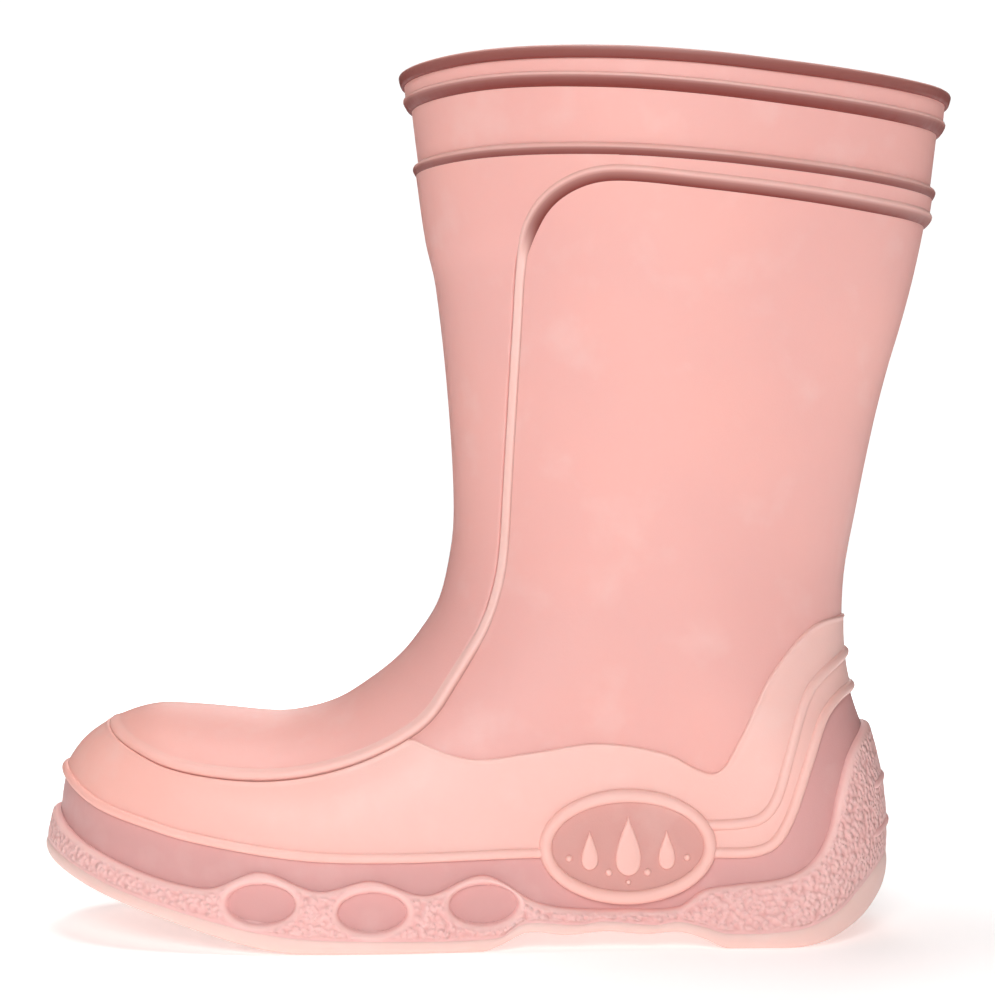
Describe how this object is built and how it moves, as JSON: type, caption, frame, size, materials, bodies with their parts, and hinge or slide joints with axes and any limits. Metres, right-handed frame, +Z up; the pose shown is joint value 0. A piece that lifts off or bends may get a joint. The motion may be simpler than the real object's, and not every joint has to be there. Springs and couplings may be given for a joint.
{
  "type": "wellington boot",
  "caption": "Left rubber wellington boot with a raised front panel, galosh overlay, rimmed cuff, textured sole wall with oval windows, and an inner lining, board and shank",
  "frame": {"origin": "on the ground under the middle of the boot", "axes": "+X towards the heel, -X towards the toe, -Y the outer side of the foot, +Y the inner side, +Z up"},
  "size_m": [0.296, 0.1196, 0.2779],
  "materials": {
    "leg_rubber": "smooth satin pink rubber",
    "foot_rubber": "smooth satin salmon pink rubber",
    "trim_rubber": "smooth pale pink rubber",
    "rand_rubber": "smooth dusky pink rubber",
    "textured_rubber": "pink rubber with a fine crinkled texture",
    "tread_rubber": "smooth pale pink sole rubber",
    "lining_fabric": "knitted cotton lining",
    "insole_foam": "foam insole with a fabric face",
    "fibre_board": "pressed fibre board",
    "filler_rubber": "dull cellular rubber",
    "shank_steel": "bare rolled steel strip"
  },
  "bodies": {
    "root": {"rim_binding": "trim_rubber", "top_cuff": "leg_rubber", "rib_upper": "trim_rubber", "rib_lower": "trim_rubber", "front_panel": "foot_rubber", "panel_bead": "trim_rubber", "leg_shell": "leg_rubber", "galosh": "foot_rubber", "toe_bead": "trim_rubber", "heel_strip_upper": "trim_rubber", "heel_strip_lower": "trim_rubber", "rand": "rand_rubber", "outsole_wall": "textured_rubber", "tread_sole": "tread_rubber", "kick_ridge_upper": "textured_rubber", "kick_ridge_lower": "textured_rubber", "badge_ring_lateral": "trim_rubber", "badge_plate_lateral": "foot_rubber", "badge_ring_medial": "trim_rubber", "badge_plate_medial": "foot_rubber", "lining_sock": "lining_fabric", "heel_stiffener": "fibre_board", "insole": "insole_foam", "insole_board": "fibre_board", "shank": "shank_steel", "midsole": "filler_rubber"}
  },
  "joints": []
}
